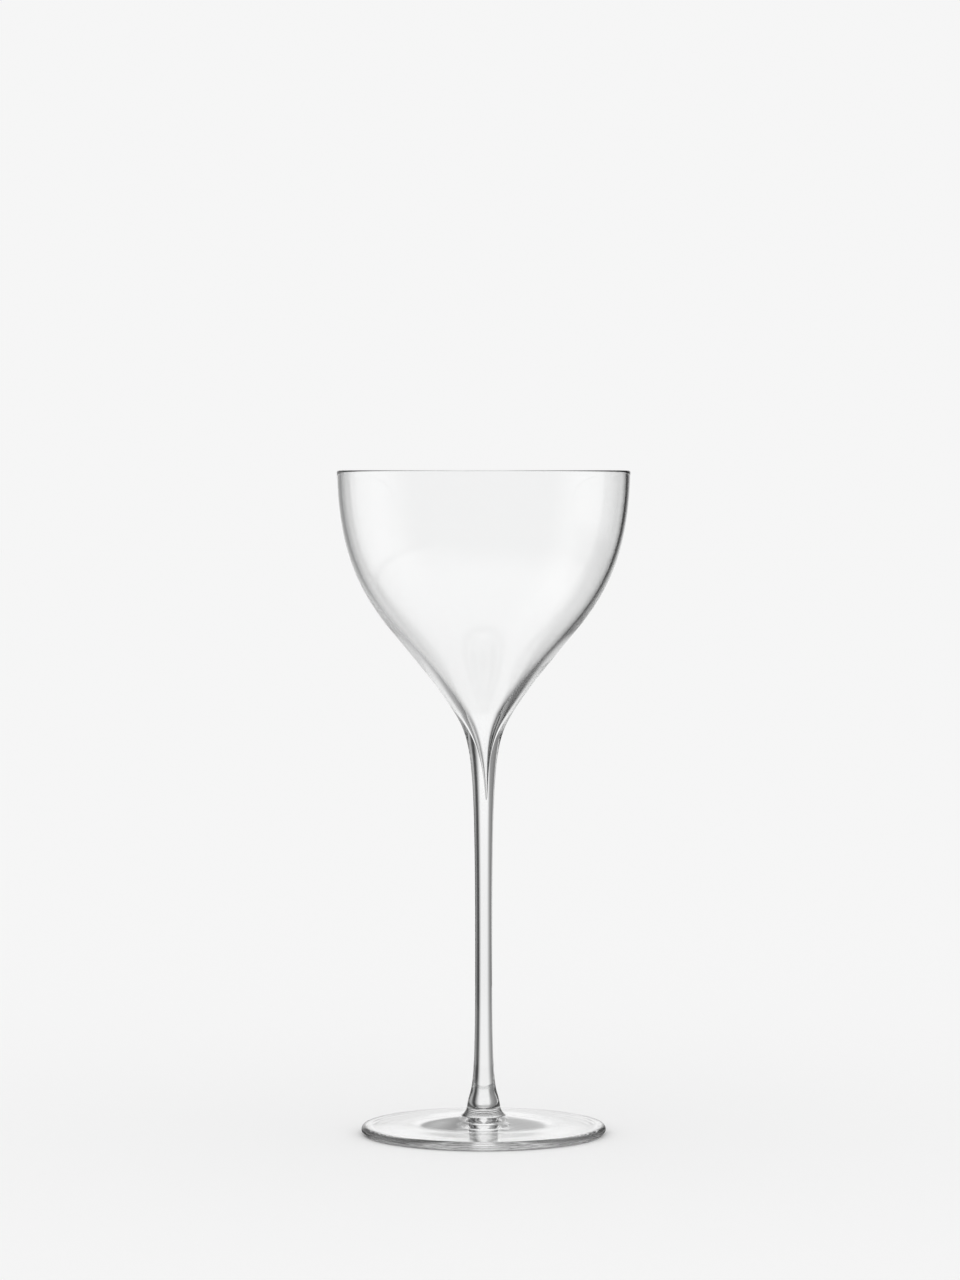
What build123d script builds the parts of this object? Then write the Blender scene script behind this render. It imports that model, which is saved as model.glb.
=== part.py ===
from build123d import *
import os
from math import cos, radians, sin

# A stemmed cocktail glass in millimetres, +Z up, with the origin at the middle of the ring that it stands on.
# It is worked from three gathers of hot glass: a blown bowl, a drawn stem and a flattened foot. Each piece is
# turned about the Z axis, and two pieces that are fused on the real glass share the face on which they meet.
# A lean is an angle from straight down in degrees, towards the axis positive. A pull is the length of a
# curve's handle as a share of the height that the curve falls through: a longer one makes a fuller curve.

# Bowl: thin at the lip, thick where it is drawn out into a funnel
bowl_height = 59.6
lip_diameter = 73.2
lip_wall = 1.05
lip_lean = 1.0
bowl_shoulder_pull = 0.566
bowl_cone_pull = 0.41
neck_wall = 3.1
neck_lean = 33.5
cavity_shoulder_pull = 0.58
cavity_cone_pull = 0.417

# Tear: the fine point in which the bowl's cavity ends inside the neck, with a nib of solid glass under it
tear_depth = 22.6
tear_throat_pull = 0.414
tear_tip_pull = 0.0226
nib_length = 3.5
nib_pull = 0.09
seam_lean = 64.0
seam_pull = 0.34

# Stem: a collar that cups the bowl's point, a slender waist and an ankle that spreads onto the foot
stem_length = 101.6
collar_diameter = 15.7
collar_lean = 32.4
collar_pull = 0.146
waist_diameter = 4.25
waist_height = 38.8
waist_upper_pull = 0.835
waist_lower_pull = 1.03
ankle_diameter = 8.3
ankle_height = 2.3
ankle_lean = -8.0
ankle_pull = 0.18
seat_diameter = 11.3

# Foot: a shallow cone with a round edge, hollowed underneath so that it stands on a narrow ring
foot_diameter = 61.1
foot_edge_thickness = 2.2
crown_height = 4.5
crown_lean = 81.0
brim_lean = 87.0
brim_pull = 4.0
ring_width = 1.2
hollow_depth = 1.7

# Heights above the surface that the glass stands on
waist_level = crown_height + waist_height
ankle_level = crown_height + ankle_height
collar_level = crown_height + stem_length
tear_level = collar_level - tear_depth
nib_level = tear_level - nib_length
lip_level = collar_level + bowl_height
lip_start = lip_level - lip_wall / 2

# Points of the profiles: distance from the axis, then height
lip_outside = (lip_diameter / 2, lip_start)
lip_top = (lip_diameter / 2 - lip_wall / 2, lip_level)
lip_inside = (lip_diameter / 2 - lip_wall, lip_start)
collar = (collar_diameter / 2, collar_level)
neck = (collar_diameter / 2 - neck_wall, collar_level)
tear_tip = (0, tear_level)
nib_end = (0, nib_level)
waist = (waist_diameter / 2, waist_level)
ankle = (ankle_diameter / 2, ankle_level)
seat_edge = (seat_diameter / 2, crown_height)
seat_middle = (0, crown_height)
brim_radius = foot_diameter / 2 - foot_edge_thickness / 2
brim_top = (brim_radius, foot_edge_thickness)
brim_side = (foot_diameter / 2, foot_edge_thickness / 2)
ring_outside = (brim_radius, 0)
ring_inside = (brim_radius - ring_width, 0)
hollow_middle = (0, hollow_depth)

# Leans of a curve that arrives level at the axis and of one that runs straight down
LEVEL = 90.0
PLUMB = 0.0


def downward(lean):
    """The direction that leans by this many degrees from straight down, towards the axis."""
    return Vector(-sin(radians(lean)), -cos(radians(lean)))


def drawn(start, start_lean, start_pull, end, end_lean, end_pull):
    """Control points of a cubic that falls from start to end with these leans and pulls at its two ends."""
    fall = start[1] - end[1]
    first_handle = Vector(*start) + downward(start_lean) * (start_pull * fall)
    last_handle = Vector(*end) - downward(end_lean) * (end_pull * fall)
    return start, first_handle, last_handle, end


# The face on which the bowl's point is fused into the stem's collar
seam = drawn(collar, seam_lean, seam_pull, nib_end, LEVEL, nib_pull)

with BuildPart() as bowl:
    with BuildSketch(Plane.XZ):
        with BuildLine():
            Bezier(*drawn(lip_outside, lip_lean, bowl_shoulder_pull, collar, collar_lean, bowl_cone_pull))
            Bezier(*seam)
            Line(nib_end, tear_tip)
            Bezier(*drawn(neck, neck_lean, tear_throat_pull, tear_tip, LEVEL, tear_tip_pull))
            Bezier(*drawn(lip_inside, lip_lean, cavity_shoulder_pull, neck, neck_lean, cavity_cone_pull))
            ThreePointArc(lip_inside, lip_top, lip_outside)
        make_face()
    revolve(axis=Axis.Z)

with BuildPart() as stem:
    with BuildSketch(Plane.XZ):
        with BuildLine():
            Bezier(*drawn(collar, collar_lean, collar_pull, waist, PLUMB, waist_upper_pull))
            Bezier(*drawn(waist, PLUMB, waist_lower_pull, ankle, ankle_lean, ankle_pull))
            TangentArc(ankle, seat_edge, tangent=downward(ankle_lean))
            Line(seat_edge, seat_middle)
            Line(seat_middle, nib_end)
            Bezier(*seam)
        make_face()
    revolve(axis=Axis.Z)

with BuildPart() as foot:
    with BuildSketch(Plane.XZ):
        with BuildLine():
            Line(seat_middle, seat_edge)
            Bezier(*drawn(seat_edge, -crown_lean, brim_pull, brim_top, -brim_lean, brim_pull))
            ThreePointArc(brim_top, brim_side, ring_outside)
            Line(ring_outside, ring_inside)
            TangentArc(hollow_middle, ring_inside, tangent=(1, 0))
            Line(hollow_middle, seat_middle)
        make_face()
    revolve(axis=Axis.Z)

os.makedirs("parts", exist_ok=True)
bowl.part.label = "bowl"
stem.part.label = "stem"
foot.part.label = "foot"
export_step(bowl.part, "parts/bowl.step")
export_step(stem.part, "parts/stem.step")
export_step(foot.part, "parts/foot.step")
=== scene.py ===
import bpy
import numpy as np
from bpy.props import FloatProperty, FloatVectorProperty, IntProperty, PointerProperty
from bpy.types import Operator, Panel, PropertyGroup
from math import radians
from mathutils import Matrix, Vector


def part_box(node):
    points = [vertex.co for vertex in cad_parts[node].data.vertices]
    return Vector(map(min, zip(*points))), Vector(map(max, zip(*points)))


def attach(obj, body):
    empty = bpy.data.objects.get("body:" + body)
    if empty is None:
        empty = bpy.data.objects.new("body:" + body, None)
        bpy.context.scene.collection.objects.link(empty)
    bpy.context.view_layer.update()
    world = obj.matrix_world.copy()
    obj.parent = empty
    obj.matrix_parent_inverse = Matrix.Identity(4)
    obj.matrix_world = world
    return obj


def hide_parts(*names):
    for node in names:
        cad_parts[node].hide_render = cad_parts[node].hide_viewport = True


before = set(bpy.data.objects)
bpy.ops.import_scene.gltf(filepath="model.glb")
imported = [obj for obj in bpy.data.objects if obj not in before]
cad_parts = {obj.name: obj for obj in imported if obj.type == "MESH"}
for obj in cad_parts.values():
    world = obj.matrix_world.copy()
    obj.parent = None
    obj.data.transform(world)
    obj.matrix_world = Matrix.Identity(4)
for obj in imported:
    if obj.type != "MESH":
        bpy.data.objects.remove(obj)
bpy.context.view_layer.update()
bowl_low, bowl_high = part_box("bowl")
stem_low, stem_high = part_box("stem")
foot_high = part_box("foot")[1]

bl_info = {
    "name": "Stemmed Cocktail Glass",
    "version": (1, 0, 0),
    "blender": (4, 5, 0),
    "location": "View3D > Sidebar > Cocktail Glass",
    "description": "Blows a clear cocktail glass of three fused pieces and sets it in a pale light tent",
    "category": "Add Mesh",
}

# Pieces are in metres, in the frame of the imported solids, with the origin under the middle of the foot.
# A lean is an angle from straight down, towards the axis positive. A pull is the length of a curve's handle
# as a share of the height that the curve falls through.

BODY = "root"

# The picture's rows of pixels, and the larger side of the camera's sensor in millimetres
PHOTO_HEIGHT = 1280
SENSOR_SIDE = 36.0

# Leans of a curve that arrives level at the axis and of one that runs straight down
LEVEL = radians(90)
PLUMB = 0.0

# Face materials of a piece, by place in its material list
GLASS = 0
JOINT = 1

# Steps of a profile along each stretch: long sweeps, short bends and flat ends
SWEEP = 110
BEND = 40
FLAT = 8

# Edges that bend by more than this stay sharp
CREASE = radians(25)

# Steps of the stage's sheets: round the floor, the plate and the tent, then out over the tent's floor,
# within its dark ring and beyond it, and up its wall
FLOOR_TURNS = 64
PLATE_TURNS = 128
TENT_TURNS = 360
TENT_RING_STEPS = 23
TENT_FLOOR_STEPS = 39
TENT_WALL_STEPS = 120

# Radii of the floor's inner rings in metres
FLOOR_RINGS = (0.0, 0.1, 0.5)

# Most bounces of a ray of light: thick clear glass needs many
BOUNCES = 40
GLOSSY_BOUNCES = 32


# Settings that a user may change

def length(name, description, default):
    """A length in metres."""
    return FloatProperty(name=name, description=description, default=default, unit="LENGTH", precision=5)


def angle(name, description, degrees):
    """An angle, given in degrees and kept in radians."""
    return FloatProperty(name=name, description=description, default=radians(degrees), subtype="ANGLE")


def share(name, description, default):
    """A number without a unit, from 0 to 1 or a little over."""
    return FloatProperty(
        name=name, description=description, default=default, subtype="FACTOR", soft_min=0.0, soft_max=1.0,
    )


def number(name, description, default):
    """A plain number."""
    return FloatProperty(name=name, description=description, default=default)


def pixels(name, description, default):
    """A measure in pixels of the picture."""
    return FloatProperty(name=name, description=description, default=default, subtype="PIXEL")


def tone(name, description, default):
    """A linear colour."""
    return FloatVectorProperty(name=name, description=description, default=default, subtype="COLOR", size=3)


class BowlShape(PropertyGroup):
    """Sizes of the blown bowl and of the tear below it"""
    lip_radius: length("Lip radius", "Outside of the lip", bowl_high.x)
    lip_level: length("Lip level", "Height of the lip's top", bowl_high.z)
    lip_wall: length("Lip wall", "Thickness of the wall at the lip", 0.00105)
    lip_lean: angle("Lip lean", "How far the wall leans in below the lip", 1.0)
    shoulder_pull: share("Shoulder pull", "Fullness of the outside below the lip", 0.566)
    cone_pull: share("Cone pull", "Fullness of the outside above the collar", 0.41)
    neck_wall: length("Neck wall", "Level thickness of the wall at the collar", 0.0031)
    neck_lean: angle("Neck lean", "Lean of the cavity's wall at the collar", 33.5)
    cavity_shoulder_pull: share("Cavity shoulder pull", "Fullness of the cavity below the lip", 0.58)
    cavity_cone_pull: share("Cavity cone pull", "Fullness of the cavity above the collar", 0.417)
    tear_depth: length("Tear depth", "How far the cavity's point lies below the collar", 0.0226)
    tear_throat_pull: share("Tear throat pull", "Fullness of the funnel below the collar", 0.414)
    tear_tip_pull: share("Tear tip pull", "Roundness of the tear's point", 0.0226)
    tear_drift: length("Tear drift", "How far the tear's point lies to the right of the axis", 0.00044)


class StemShape(PropertyGroup):
    """Sizes of the drawn stem and of the seam in its collar"""
    collar_radius: length("Collar radius", "Where the stem's outside meets the bowl's", stem_high.x)
    collar_level: length("Collar level", "Height at which the stem's outside meets the bowl's", stem_high.z)
    collar_lean: angle("Collar lean", "Lean of the outside at the collar", 32.4)
    collar_pull: share("Collar pull", "Fullness of the stem below the collar", 0.146)
    seam_lean: angle("Seam lean", "Lean of the fused face at the collar", 64.0)
    seam_pull: share("Seam pull", "Fullness of the fused face below the collar", 0.34)
    nib_level: length("Nib level", "Height of the lowest point of the fused face", bowl_low.z)
    nib_pull: share("Nib pull", "Roundness of the lowest point of the fused face", 0.09)
    waist_radius: length("Waist radius", "The stem where it is thinnest", 0.002125)
    waist_level: length("Waist level", "Height at which the stem is thinnest", 0.0433)
    waist_upper_pull: share("Upper waist pull", "Straightness of the stem above the waist", 0.835)
    waist_lower_pull: share("Lower waist pull", "Straightness of the stem below the waist", 1.03)
    ankle_radius: length("Ankle radius", "The stem where it starts to spread onto the foot", 0.00415)
    ankle_level: length("Ankle level", "Height at which the stem starts to spread", 0.0068)
    ankle_lean: angle("Ankle lean", "Lean of the stem at the ankle", -8.0)
    ankle_pull: share("Ankle pull", "Fullness of the ankle", 0.18)
    seat_radius: length("Seat radius", "The disc on which the stem is fused to the foot", 0.00565)
    seat_level: length("Seat level", "Height of that disc", stem_low.z)


class FootShape(PropertyGroup):
    """Sizes of the flattened foot"""
    radius: length("Foot radius", "The foot at its widest", foot_high.x)
    edge_thickness: length("Edge thickness", "Thickness of the rounded edge", 0.0022)
    crown_lean: angle("Crown lean", "Lean of the top beside the stem", 81.0)
    brim_lean: angle("Brim lean", "Lean of the top beside the edge", 87.0)
    brim_pull: number("Brim pull", "Fullness of the top", 4.0)
    ring_width: length("Ring width", "Width of the ring that the glass stands on", 0.0012)
    hollow_depth: length("Hollow depth", "Height of the hollow under the middle", 0.0017)


class GlassFinish(PropertyGroup):
    """The clear glass and the marks that its making leaves"""
    tint: tone("Tint", "Colour of light that has passed through a surface", (0.997, 0.999, 0.999))
    refraction: number("Refraction", "Index of refraction", 1.52)
    wave_depth: length("Wave depth", "Depth of the slow waves left by the blowing", 0.00001)
    wave_scale: number("Wave scale", "Waves to a metre", 45.0)
    wave_detail: number("Wave detail", "Octaves of the waves", 1.5)
    polish_scale: number("Polish scale", "Haze patches to a metre", 180.0)
    polish_detail: number("Polish detail", "Octaves of those patches", 4.0)
    haze: share("Haze", "Most roughness, where the polish is least", 0.012)
    haze_start: share("Haze start", "Level of the patches at which the haze starts", 0.5)
    haze_full: share("Haze full", "Level of the patches at which the haze is most", 0.8)
    columns: IntProperty(name="Columns", description="Steps around the axis", default=256, min=48)


class StageLight(PropertyGroup):
    """The camera, the floor and the light tent, whose turns are counted from straight behind the glass"""
    pale: tone("Pale", "Tone of the surroundings and of the floor under the glass", (0.92, 0.92, 0.92))
    floor_drop: length("Floor drop", "Air between the ring and the floor", 0.0001)
    floor_radius: length("Floor radius", "Size of the floor", 8.0)
    focal_pixels: pixels("Focal pixels", "Focal length in pixels", 4500.0)
    eye_distance: length("Eye distance", "From the camera to the glass's axis", 1.121)
    eye_side: length("Eye side", "How far the camera stands to the left of the axis", 0.0009)
    horizon_row: pixels("Horizon row", "Pixel row of the horizon", 470.3)
    tent_inside: length("Tent inside", "Inner edge of the tent's floor, and edge of the plate", 0.0308)
    tent_radius: length("Tent radius", "From the glass's axis to the tent's wall", 0.3)
    tent_height: length("Tent height", "Height of the tent's wall", 2.4)
    plate: share("Plate", "Share of light that the polished plate under the foot gives back", 0.9)
    back: share("Back", "Tone of the wall behind the glass", 1.04)
    back_low: share("Back low", "Tone behind the glass on the floor", 0.92)
    back_rise: length("Back rise", "Height at which the back has its full tone", 0.12)
    back_top: share("Back top", "Tone of the dim band across the top of the back", 0.45)
    back_top_start: length("Back top start", "Height at which the back starts to dim", 0.19)
    back_top_full: length("Back top full", "Height at which the back is dimmest", 0.26)
    sky: share("Sky", "Tone behind the glass above the dim band", 0.92)
    sky_start: length("Sky start", "Height at which the dim band starts to lighten", 0.27)
    sky_full: length("Sky full", "Height at which the dim band has ended", 0.38)
    right_gap_start: angle("Right gap start", "Where the back starts to darken on the right", 9.2)
    right_gap_full: angle("Right gap full", "Where the right gap is darkest", 27.0)
    right_gap_end: angle("Right gap end", "Where the right gap is lightest", 60.0)
    right_dark: share("Right dark", "Darkest tone of the right gap", 0.035)
    right_gap: share("Right gap", "Lightest tone of the right gap", 0.345)
    right_black_start: angle("Right black start", "Where the right wall's foot starts to turn black", 55.0)
    right_black_full: angle("Right black full", "Where the right wall's foot is black", 62.0)
    right_strip_start: angle("Right strip start", "Where the strip above the right foot starts", 37.0)
    right_strip_full: angle("Right strip full", "Where that strip has its tone", 45.0)
    right_strip: share("Right strip", "Tone of the strip beside the right panel", 0.42)
    right_panel_start: angle("Right panel start", "Where the right strip ends", 65.0)
    right_panel_full: angle("Right panel full", "Where the right panel has its tone", 69.0)
    right_panel: share("Right panel", "Tone of the panel above the right foot", 0.4)
    right_foot: length("Right foot", "Height at which the right wall's foot starts to lighten", 0.055)
    right_rise: length("Right rise", "Height at which the right strip and panel have their tones", 0.105)
    right_narrow: share("Right narrow", "Width of the right back above, as a share of that below", 1.12)
    left_gap_start: angle("Left gap start", "Where the back starts to darken on the left", 13.0)
    left_gap_full: angle("Left gap full", "Where the left back has darkened", 36.0)
    left_gap_end: angle("Left gap end", "Where the left gap has its own tone", 45.0)
    left_dark: share("Left dark", "Tone between the left back and the gap", 0.32)
    left_gap: share("Left gap", "Tone of the left gap", 0.24)
    left_black_start: angle("Left black start", "Where the left wall's foot starts to turn black", 45.0)
    left_black_full: angle("Left black full", "Where the left wall's foot is black", 63.0)
    left_strip_start: angle("Left strip start", "Where the strip above the left foot starts", 36.0)
    left_strip_full: angle("Left strip full", "Where that strip has its tone", 45.0)
    left_strip: share("Left strip", "Tone of the strip beside the left panel", 0.25)
    left_panel_start: angle("Left panel start", "Where the left strip ends", 54.0)
    left_panel_full: angle("Left panel full", "Where the left panel has its tone", 56.5)
    left_panel: share("Left panel", "Tone of the panel above the left foot", 0.8)
    left_foot: length("Left foot", "Height at which the left wall's foot starts to lighten", -0.02)
    left_rise: length("Left rise", "Height at which the left strip and panel have their tones", 0.03)
    left_narrow: share("Left narrow", "Width of the left back above, as a share of that below", 0.68)
    panel_top: share("Panel top", "Tone of the panels' top as a share of their own", 0.5)
    panel_top_start: length("Panel top start", "Height at which the panels start to dim", 0.3)
    panel_top_full: length("Panel top full", "Height at which the panels have the tone of their top", 0.55)
    front: share("Front", "Tone of the wall towards the camera", 0.06)
    front_start: angle("Front start", "Where the panels start to turn into the front", 85.0)
    front_full: angle("Front full", "Where the front has its full tone", 127.0)
    lit_floor: share("Lit floor", "Tone of the lit floor about the glass", 0.6)
    right_outer: share("Right outer", "Tone of the outer floor to the right", 0.17)
    right_floor_start: angle("Right floor start", "Where the right floor starts to lighten", 64.0)
    right_floor_full: angle("Right floor full", "Where the right floor has its tone", 73.0)
    left_outer: share("Left outer", "Tone of the outer floor to the left", 0.65)
    left_floor_start: angle("Left floor start", "Where the left floor starts to lighten", 56.0)
    left_floor_full: angle("Left floor full", "Where the left floor has its tone", 61.0)
    lit_radius: length("Lit radius", "How far the floor is fully lit about the glass", 0.148)
    skirt: share("Skirt", "Tone of the dark ring about the foot", 0.0)
    skirt_radius: length("Skirt radius", "Where the dark ring starts to fade", 0.035)
    skirt_clear: length("Skirt clear", "Where the dark ring has faded", 0.045)
    skirt_behind: share("Skirt behind", "Width of the ring at the back, as a share of the full one", 0.32)
    skirt_start: angle("Skirt start", "Where the dark ring starts to widen beside the back", 75.0)
    skirt_full: angle("Skirt full", "Where the dark ring has its full width", 90.0)


class CocktailGlass(PropertyGroup):
    """Everything that shapes and lights the glass"""
    bowl: PointerProperty(type=BowlShape)
    stem: PointerProperty(type=StemShape)
    foot: PointerProperty(type=FootShape)
    finish: PointerProperty(type=GlassFinish)
    light: PointerProperty(type=StageLight)


# Steps, curves and surfaces

def smooth(x, start, end):
    """A smooth step from 0 at start to 1 at end."""
    t = np.clip((x - start) / (end - start), 0.0, 1.0)
    return t * t * (3 - 2 * t)


def fade(first, second, step):
    """A value that turns from the first into the second as the step goes from 0 to 1."""
    return first + (second - first) * step


def downward(lean):
    """The direction, as distance from the axis and height, that leans from straight down to the axis."""
    return np.array([-np.sin(lean), -np.cos(lean)])


def drawn(start, start_lean, start_pull, end, end_lean, end_pull, steps):
    """Points on a cubic that falls from start to end: the sum of the start, two handles and the end,
    weighted by the Bernstein polynomials of degree three. Each handle lies along its lean, as long as its
    pull says."""
    start = np.array(start)
    end = np.array(end)
    fall = start[1] - end[1]
    first_handle = start + downward(start_lean) * start_pull * fall
    last_handle = end - downward(end_lean) * end_pull * fall
    t = np.linspace(0.0, 1.0, steps + 1)[:, None]
    s = 1.0 - t
    return s**3 * start + 3 * s**2 * t * first_handle + 3 * s * t**2 * last_handle + t**3 * end


def straight(start, end, steps):
    """Evenly spaced points from start to end."""
    return np.linspace(start, end, steps + 1)


def half_round(start, end, steps):
    """Points on the half circle over the line from start to end, on the left of the way: the middle, plus
    half the line turned to the left by an angle that goes from a half turn to nothing."""
    start = np.array(start)
    end = np.array(end)
    middle = (start + end) / 2
    along = (end - start) / 2
    left = np.array([-along[1], along[0]])
    turn = np.linspace(np.pi, 0.0, steps + 1)[:, None]
    return middle + np.cos(turn) * along + np.sin(turn) * left


def tangent_arc(start, direction, end, steps):
    """Points on the circle that leaves start in this direction and passes through end: its centre lies
    square to the direction, as far off as makes both points equally distant, and the angle runs evenly."""
    start = np.array(start)
    end = np.array(end)
    square = np.array([-direction[1], direction[0]])
    chord = end - start
    offset = chord @ chord / (2 * chord @ square)
    centre = start + square * offset
    first = np.arctan2(*(start - centre)[::-1])
    last = np.arctan2(*(end - centre)[::-1])
    sweep = (last - first + np.pi) % (2 * np.pi) - np.pi
    turn = first + sweep * np.linspace(0.0, 1.0, steps + 1)
    return centre + abs(offset) * np.column_stack([np.cos(turn), np.sin(turn)])


def turned(name, stretches, drift, columns, materials):
    """A closed surface turned about the Z axis. The profile is the stretches end to end, from a point on
    the axis to another, with the outside on the left of its way. A point at distance r and height z goes to
    (r cos a + d, r sin a, z) for each of the columns' angles a, and each end is a single pole. The drift d
    is given for the rows of the first stretch and is nothing further on."""
    rows = np.vstack([stretches[0][0]] + [points[1:] for points, _ in stretches[1:]])
    surface = np.concatenate([np.full(len(points) - 1, material) for points, material in stretches])
    sideways = np.zeros(len(rows))
    sideways[:len(stretches[0][0])] = drift
    around = np.linspace(0.0, 2 * np.pi, columns, endpoint=False)
    rings = rows[1:-1]
    ring_points = np.stack([
        rings[:, :1] * np.cos(around) + sideways[1:-1, None],
        rings[:, :1] * np.sin(around),
        np.repeat(rings[:, 1:], columns, axis=1),
    ], axis=2).reshape(-1, 3)
    points = np.vstack([[sideways[0], 0.0, rows[0, 1]], ring_points, [0.0, 0.0, rows[-1, 1]]])

    here = 1 + np.arange(len(rings) * columns).reshape(len(rings), columns)
    after = np.roll(here, -1, axis=1)
    quads = np.stack([here[:-1], here[1:], after[1:], after[:-1]], axis=2).reshape(-1, 4)
    start_fan = np.column_stack([np.zeros(columns, int), here[0], after[0]])
    end_fan = np.column_stack([here[-1], np.full(columns, len(points) - 1), after[-1]])

    mesh = bpy.data.meshes.new(name)
    mesh.from_pydata(points.tolist(), [], start_fan.tolist() + quads.tolist() + end_fan.tolist())
    for material in materials:
        mesh.materials.append(material)
    mesh.polygons.foreach_set("material_index", np.repeat(surface, columns).astype(np.int32))
    mesh.shade_smooth()
    mesh.set_sharp_from_angle(angle=CREASE)
    piece = bpy.data.objects.new(name, mesh)
    bpy.context.scene.collection.objects.link(piece)
    return piece


# Profiles of the pieces

def seam_curve(stem):
    """The fused face between bowl and stem, from the collar down to the nib."""
    return drawn(
        (stem.collar_radius, stem.collar_level), stem.seam_lean, stem.seam_pull,
        (0.0, stem.nib_level), LEVEL, stem.nib_pull, BEND,
    )


def bowl_profile(bowl, stem):
    """From the tear's point up the cavity, over the lip, down the outside and round the fused point."""
    start = bowl.lip_level - bowl.lip_wall / 2
    lip_outside = (bowl.lip_radius, start)
    lip_inside = (bowl.lip_radius - bowl.lip_wall, start)
    collar = (stem.collar_radius, stem.collar_level)
    neck = (stem.collar_radius - bowl.neck_wall, stem.collar_level)
    tear = (0.0, stem.collar_level - bowl.tear_depth)
    funnel = drawn(neck, bowl.neck_lean, bowl.tear_throat_pull, tear, LEVEL, bowl.tear_tip_pull, SWEEP)
    cavity = drawn(
        lip_inside, bowl.lip_lean, bowl.cavity_shoulder_pull,
        neck, bowl.neck_lean, bowl.cavity_cone_pull, SWEEP,
    )
    lip = half_round(lip_inside, lip_outside, BEND // 2)
    outside = drawn(
        lip_outside, bowl.lip_lean, bowl.shoulder_pull,
        collar, stem.collar_lean, bowl.cone_pull, SWEEP,
    )
    return [
        (funnel[::-1], GLASS),
        (cavity[::-1], GLASS),
        (lip, GLASS),
        (outside, GLASS),
        (seam_curve(stem), JOINT),
    ]


def stem_profile(stem):
    """From the nib up the fused face to the collar, down the outside and across the seat to the axis."""
    collar = (stem.collar_radius, stem.collar_level)
    waist = (stem.waist_radius, stem.waist_level)
    ankle = (stem.ankle_radius, stem.ankle_level)
    seat_edge = (stem.seat_radius, stem.seat_level)
    upper = drawn(
        collar, stem.collar_lean, stem.collar_pull, waist, PLUMB, stem.waist_upper_pull, SWEEP,
    )
    lower = drawn(
        waist, PLUMB, stem.waist_lower_pull, ankle, stem.ankle_lean, stem.ankle_pull, SWEEP,
    )
    spread = tangent_arc(ankle, downward(stem.ankle_lean), seat_edge, BEND // 2)
    seat = straight(seat_edge, (0.0, stem.seat_level), FLAT)
    return [
        (seam_curve(stem)[::-1], JOINT),
        (upper, GLASS),
        (lower, GLASS),
        (spread, GLASS),
        (seat, JOINT),
    ]


def foot_profile(foot, stem):
    """From the seat's middle out over the top, round the edge, along the ring and up the hollow."""
    seat_edge = (stem.seat_radius, stem.seat_level)
    brim = foot.radius - foot.edge_thickness / 2
    seat = straight((0.0, stem.seat_level), seat_edge, FLAT)
    top = drawn(
        seat_edge, -foot.crown_lean, foot.brim_pull,
        (brim, foot.edge_thickness), -foot.brim_lean, foot.brim_pull, SWEEP,
    )
    edge = half_round((brim, foot.edge_thickness), (brim, 0.0), BEND)
    ring_inside = (brim - foot.ring_width, 0.0)
    ring = straight((brim, 0.0), ring_inside, FLAT)
    hollow = tangent_arc((0.0, foot.hollow_depth), np.array([1.0, 0.0]), ring_inside, BEND)
    return [
        (seat, JOINT),
        (top, GLASS),
        (edge, GLASS),
        (ring, GLASS),
        (hollow[::-1], GLASS),
    ]


# Glass and how its pieces are placed

def new_material(name):
    """The material of this name, emptied, with its nodes and links."""
    material = bpy.data.materials.get(name) or bpy.data.materials.new(name)
    material.use_nodes = True
    material.node_tree.nodes.clear()
    return material, material.node_tree.nodes, material.node_tree.links


def plain_material(name, shader_kind, values):
    """A material of one shader, with these values on its sockets."""
    material, nodes, links = new_material(name)
    shader = nodes.new(shader_kind)
    for socket, value in values.items():
        shader.inputs[socket].default_value = value
    output = nodes.new("ShaderNodeOutputMaterial")
    links.new(shader.outputs["BSDF"], output.inputs["Surface"])
    return material


def clear_glass(finish):
    """Fire-polished glass: clear and smooth, with slow waves left by the blowing and a breath of haze."""
    material, nodes, links = new_material("clear_fire_polished_glass")
    place = nodes.new("ShaderNodeTexCoord")
    waves = nodes.new("ShaderNodeTexNoise")
    waves.inputs["Scale"].default_value = finish.wave_scale
    waves.inputs["Detail"].default_value = finish.wave_detail
    bump = nodes.new("ShaderNodeBump")
    bump.inputs["Strength"].default_value = 1.0
    bump.inputs["Distance"].default_value = finish.wave_depth
    polish = nodes.new("ShaderNodeTexNoise")
    polish.inputs["Scale"].default_value = finish.polish_scale
    polish.inputs["Detail"].default_value = finish.polish_detail
    haze = nodes.new("ShaderNodeMapRange")
    haze.inputs["From Min"].default_value = finish.haze_start
    haze.inputs["From Max"].default_value = finish.haze_full
    haze.inputs["To Max"].default_value = finish.haze
    shader = nodes.new("ShaderNodeBsdfPrincipled")
    shader.inputs["Base Color"].default_value = (*finish.tint, 1.0)
    shader.inputs["IOR"].default_value = finish.refraction
    shader.inputs["Transmission Weight"].default_value = 1.0
    output = nodes.new("ShaderNodeOutputMaterial")
    links.new(place.outputs["Object"], waves.inputs["Vector"])
    links.new(place.outputs["Object"], polish.inputs["Vector"])
    links.new(waves.outputs["Fac"], bump.inputs["Height"])
    links.new(polish.outputs["Fac"], haze.inputs["Value"])
    links.new(haze.outputs["Result"], shader.inputs["Roughness"])
    links.new(bump.outputs["Normal"], shader.inputs["Normal"])
    links.new(shader.outputs["BSDF"], output.inputs["Surface"])
    return material


def fused_joint():
    """The face where two hot pieces run into one: nothing of it can be seen in the finished glass."""
    return plain_material("fused_joint", "ShaderNodeBsdfPrincipled", {"Alpha": 0.0})


def tear_drift(bowl, stem, funnel):
    """How far each row of the funnel lies to the right: a smooth step from the collar down to the point."""
    return bowl.tear_drift * smooth(stem.collar_level - funnel[:, 1], 0.0, bowl.tear_depth)


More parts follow.
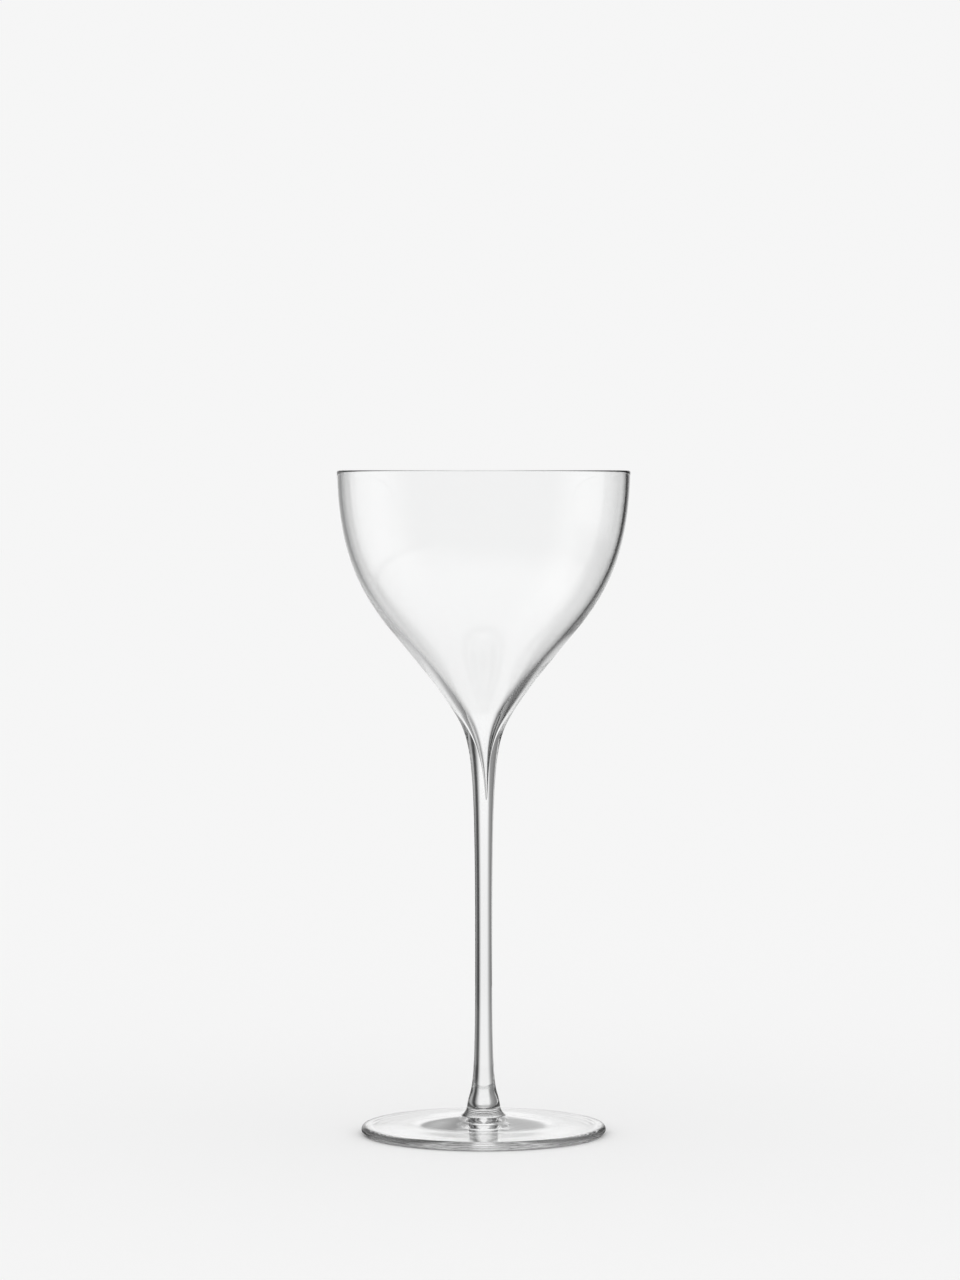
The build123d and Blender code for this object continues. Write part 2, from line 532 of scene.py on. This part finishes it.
def place_piece(name, stretches, drift, node, settings):
    """Makes a piece of glass from its profile, in place of its solid, and lets it ride on the body."""
    materials = [clear_glass(settings.finish), fused_joint()]
    piece = turned(name, stretches, drift, settings.finish.columns, materials)
    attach(piece, BODY)
    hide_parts(node)


# Stage: surroundings, floor, light tent and camera

def pale_surroundings(light):
    """A world that lights with plain white and shows its pale tone to the camera, in gloss and in glass."""
    world = bpy.data.worlds.new("pale_surroundings")
    world.use_nodes = True
    nodes = world.node_tree.nodes
    links = world.node_tree.links
    nodes.clear()
    lighting = nodes.new("ShaderNodeBackground")
    lighting.inputs["Color"].default_value = (1.0, 1.0, 1.0, 1.0)
    shown = nodes.new("ShaderNodeBackground")
    shown.inputs["Color"].default_value = (*light.pale, 1.0)
    path = nodes.new("ShaderNodeLightPath")
    seen = nodes.new("ShaderNodeMath")
    seen.operation = "MAXIMUM"
    seen_at_all = nodes.new("ShaderNodeMath")
    seen_at_all.operation = "MAXIMUM"
    mix = nodes.new("ShaderNodeMixShader")
    output = nodes.new("ShaderNodeOutputWorld")
    links.new(path.outputs["Is Camera Ray"], seen.inputs[0])
    links.new(path.outputs["Is Glossy Ray"], seen.inputs[1])
    links.new(seen.outputs["Value"], seen_at_all.inputs[0])
    links.new(path.outputs["Is Transmission Ray"], seen_at_all.inputs[1])
    links.new(seen_at_all.outputs["Value"], mix.inputs["Fac"])
    links.new(lighting.outputs["Background"], mix.inputs[1])
    links.new(shown.outputs["Background"], mix.inputs[2])
    links.new(mix.outputs["Shader"], output.inputs["Surface"])
    bpy.context.scene.world = world


def grid_object(name, points, material):
    """A sheet of the stage through a grid of points, row by row."""
    rows, columns = points.shape[:2]
    index = np.arange(rows * columns).reshape(rows, columns)
    corners = [index[:-1, :-1], index[:-1, 1:], index[1:, 1:], index[1:, :-1]]
    faces = np.stack(corners, axis=2).reshape(-1, 4)
    mesh = bpy.data.meshes.new(name)
    mesh.from_pydata(points.reshape(-1, 3).tolist(), [], faces.tolist())
    mesh.materials.append(material)
    mesh.shade_smooth()
    sheet = bpy.data.objects.new(name, mesh)
    bpy.context.scene.collection.objects.link(sheet)
    return sheet


def disc(radii, turns, height):
    """Points of a level disc: (r cos a, r sin a, h) for each radius r and evenly spaced angles a."""
    radius = np.array(radii)[:, None]
    around = np.linspace(0.0, 2 * np.pi, turns + 1)
    level = np.full((len(radius), len(around)), height)
    return np.stack([radius * np.cos(around), radius * np.sin(around), level], axis=2)


def pale_floor(light):
    """A round matt floor just under the ring that the glass stands on."""
    material = plain_material("pale_matt_floor", "ShaderNodeBsdfDiffuse", {"Color": (*light.pale, 1.0)})
    points = disc([*FLOOR_RINGS, light.floor_radius], FLOOR_TURNS, -light.floor_drop)
    grid_object("pale_floor", points, material)


def beside(light, turn):
    """A function that gives a setting by its name: the right one where the turn is to the right, and the
    left one elsewhere."""
    def setting(name):
        return np.where(turn > 0, getattr(light, "right_" + name), getattr(light, "left_" + name))
    return setting


def back_tone(light, turn, height):
    """Tone of the tent by its turn from straight behind the glass, to the right positive, and by height: a
    bright back, dimmer at the floor and in a band above, that darkens smoothly into a gap on each side."""
    away = np.abs(turn)
    back = fade(light.back_low, light.back, smooth(height, 0.0, light.back_rise))
    back = fade(back, light.back_top, smooth(height, light.back_top_start, light.back_top_full))
    back = fade(back, light.sky, smooth(height, light.sky_start, light.sky_full))
    side = beside(light, turn)
    edge = side("gap_full") * fade(1.0, side("narrow"), smooth(height, 0.0, light.back_rise))
    shade = fade(back, side("dark"), smooth(away, side("gap_start"), edge))
    return fade(shade, shade + side("gap") - side("dark"), smooth(away, edge, side("gap_end")))


def wall_tone(light, turn, height):
    """Tone of the tent's wall: the back and its gaps, on each side a black foot with a strip and a panel
    above it, and the front, with smooth steps between them."""
    away = np.abs(turn)
    side = beside(light, turn)
    shade = back_tone(light, turn, height)
    foot = fade(shade, 0.0, smooth(away, side("black_start"), side("black_full")))
    above = fade(shade, side("strip"), smooth(away, side("strip_start"), side("strip_full")))
    dimmed = smooth(height, light.panel_top_start, light.panel_top_full)
    panel = side("panel") * fade(1.0, light.panel_top, dimmed)
    above = fade(above, panel, smooth(away, side("panel_start"), side("panel_full")))
    shade = fade(foot, above, smooth(height, side("foot"), side("rise")))
    return fade(shade, light.front, smooth(away, light.front_start, light.front_full))


def floor_tone(light, turn, radius):
    """Tone of the tent's floor: that of the wall's foot behind the glass, an outer and a lit inner part at
    the sides and towards the camera, and a dark ring about the glass's foot that is narrow behind it."""
    away = np.abs(turn)
    side = beside(light, turn)
    reach = smooth(away, side("floor_start"), side("floor_full"))
    aside = smooth(away, np.pi, light.front_start)
    outer = fade(wall_tone(light, turn, 0.0), side("outer"), reach * aside)
    near = smooth(radius, light.tent_radius, light.lit_radius)
    shade = fade(outer, light.lit_floor, reach * near)
    width = fade(light.skirt_behind, 1.0, smooth(away, light.skirt_start, light.skirt_full))
    from_foot = (radius - light.tent_inside) / width
    clear = light.skirt_clear - light.tent_inside
    ring = smooth(from_foot, clear, light.skirt_radius - light.tent_inside)
    return fade(shade, light.skirt, ring)


def only_in_glass(sheet):
    """Lets a sheet be seen in reflections and through glass alone."""
    sheet.visible_camera = False
    sheet.visible_diffuse = False
    sheet.visible_shadow = False


def polished_plate(light):
    """A round plate under the foot that mirrors the tent, halfway down to the floor."""
    shine = (light.plate, light.plate, light.plate, 1.0)
    material = plain_material("polished_plate", "ShaderNodeBsdfGlossy", {"Color": shine, "Roughness": 0.0})
    points = disc([0.0, light.tent_inside], PLATE_TURNS, -light.floor_drop / 2)
    only_in_glass(grid_object("polished_plate", points, material))


def tent_cloth():
    """Cloth that glows with the tone kept on its points."""
    material, nodes, links = new_material("light_tent")
    shade = nodes.new("ShaderNodeAttribute")
    shade.attribute_name = "shade"
    shader = nodes.new("ShaderNodeEmission")
    output = nodes.new("ShaderNodeOutputMaterial")
    links.new(shade.outputs["Fac"], shader.inputs["Color"])
    links.new(shader.outputs["Emission"], output.inputs["Surface"])
    material.cycles.emission_sampling = "NONE"
    return material


def tent_sheet(name, turn, radius, height, shades, pole):
    """A sheet of the tent: (r sin a, r cos a, h) for each turn a, radius r and height h, which glows in
    its tone."""
    level = height + np.zeros(turn.shape)
    points = np.stack([radius * np.sin(turn), radius * np.cos(turn), level], axis=2)
    sheet = grid_object(name, points, tent_cloth())
    attribute = sheet.data.attributes.new("shade", "FLOAT", "POINT")
    attribute.data.foreach_set("value", shades.ravel().astype(np.float32))
    only_in_glass(sheet)
    sheet.parent = pole


def light_tent(light):
    """A round tent about the glass, seen only in its reflections and through it: a floor and an upright
    wall, whose rows lie closest together low down. It stands on an empty that keeps facing the camera, so
    that the glass has its dark outline from every side."""
    pole = bpy.data.objects.new("tent_pole", None)
    bpy.context.scene.collection.objects.link(pole)
    facing = pole.constraints.new("LOCKED_TRACK")
    facing.target = bpy.context.scene.camera
    facing.track_axis = "TRACK_NEGATIVE_Y"
    facing.lock_axis = "LOCK_Z"
    turn = np.linspace(-np.pi, np.pi, TENT_TURNS + 1)
    rings = np.append(
        np.linspace(light.tent_inside, light.skirt_clear, TENT_RING_STEPS + 1),
        np.linspace(light.skirt_clear, light.tent_radius, TENT_FLOOR_STEPS + 1)[1:],
    )
    climb = light.tent_height * np.linspace(0.0, 1.0, TENT_WALL_STEPS + 1)**2
    turns, radius = np.meshgrid(turn, rings)
    tent_sheet("tent_floor", turns, radius, 0.0, floor_tone(light, turns, radius), pole)
    turns, height = np.meshgrid(turn, climb)
    tent_sheet("tent_wall", turns, light.tent_radius, height, wall_tone(light, turns, height), pole)


def photo_camera(light, eye_level):
    """A long lens at the height of the lip, tilted down so that the horizon lies on its pixel row."""
    lens = bpy.data.cameras.new("long_lens")
    lens.sensor_width = SENSOR_SIDE
    lens.lens = light.focal_pixels * SENSOR_SIDE / PHOTO_HEIGHT
    camera = bpy.data.objects.new("photo_camera", lens)
    bpy.context.scene.collection.objects.link(camera)
    tilt = np.arctan((PHOTO_HEIGHT / 2 - light.horizon_row) / light.focal_pixels)
    camera.location = (-light.eye_side, -light.eye_distance, eye_level)
    camera.rotation_euler = (radians(90) - tilt, 0.0, 0.0)
    bpy.context.scene.camera = camera


# Operators and their panel

class COCKTAIL_OT_bowl(Operator):
    """Blow the bowl with its drawn-out tear"""
    bl_idname = "cocktail_glass.bowl"
    bl_label = "Blow the Bowl"

    def execute(self, context):
        glass = context.scene.cocktail_glass
        profile = bowl_profile(glass.bowl, glass.stem)
        drift = tear_drift(glass.bowl, glass.stem, profile[0][0])
        place_piece("blown_bowl", profile, drift, "bowl", glass)
        return {"FINISHED"}


class COCKTAIL_OT_stem(Operator):
    """Draw the stem from the collar to the ankle"""
    bl_idname = "cocktail_glass.stem"
    bl_label = "Draw the Stem"

    def execute(self, context):
        glass = context.scene.cocktail_glass
        place_piece("drawn_stem", stem_profile(glass.stem), 0.0, "stem", glass)
        return {"FINISHED"}


class COCKTAIL_OT_foot(Operator):
    """Flatten the foot and hollow its underside"""
    bl_idname = "cocktail_glass.foot"
    bl_label = "Flatten the Foot"

    def execute(self, context):
        glass = context.scene.cocktail_glass
        place_piece("flattened_foot", foot_profile(glass.foot, glass.stem), 0.0, "foot", glass)
        return {"FINISHED"}


class COCKTAIL_OT_stage(Operator):
    """Set the camera, the pale floor and surroundings, and the light tent that outlines the glass"""
    bl_idname = "cocktail_glass.stage"
    bl_label = "Set the Stage"

    def execute(self, context):
        scene = context.scene
        glass = scene.cocktail_glass
        light = glass.light
        scene.view_settings.view_transform = "Standard"
        scene.cycles.max_bounces = BOUNCES
        scene.cycles.glossy_bounces = GLOSSY_BOUNCES
        scene.cycles.transmission_bounces = BOUNCES
        scene.cycles.transparent_max_bounces = BOUNCES
        photo_camera(light, glass.bowl.lip_level)
        pale_surroundings(light)
        pale_floor(light)
        polished_plate(light)
        light_tent(light)
        return {"FINISHED"}


class COCKTAIL_PT_panel(Panel):
    """Lists the steps that make the glass"""
    bl_label = "Cocktail Glass"
    bl_idname = "COCKTAIL_PT_panel"
    bl_space_type = "VIEW_3D"
    bl_region_type = "UI"
    bl_category = "Cocktail Glass"

    def draw(self, context):
        for operator in OPERATORS:
            self.layout.operator(operator.bl_idname)


SETTINGS = (BowlShape, StemShape, FootShape, GlassFinish, StageLight, CocktailGlass)
OPERATORS = (COCKTAIL_OT_bowl, COCKTAIL_OT_stem, COCKTAIL_OT_foot, COCKTAIL_OT_stage)
CLASSES = (*SETTINGS, *OPERATORS, COCKTAIL_PT_panel)


def register():
    """Registers the classes and puts the settings on the scene."""
    for cls in CLASSES:
        bpy.utils.register_class(cls)
    bpy.types.Scene.cocktail_glass = PointerProperty(type=CocktailGlass)


def unregister():
    """Takes the settings and the classes away again."""
    del bpy.types.Scene.cocktail_glass
    for cls in reversed(CLASSES):
        bpy.utils.unregister_class(cls)


def main():
    """Makes the glass and its stage."""
    register()
    bpy.ops.cocktail_glass.bowl()
    bpy.ops.cocktail_glass.stem()
    bpy.ops.cocktail_glass.foot()
    bpy.ops.cocktail_glass.stage()


if __name__ == "__main__":
    main()
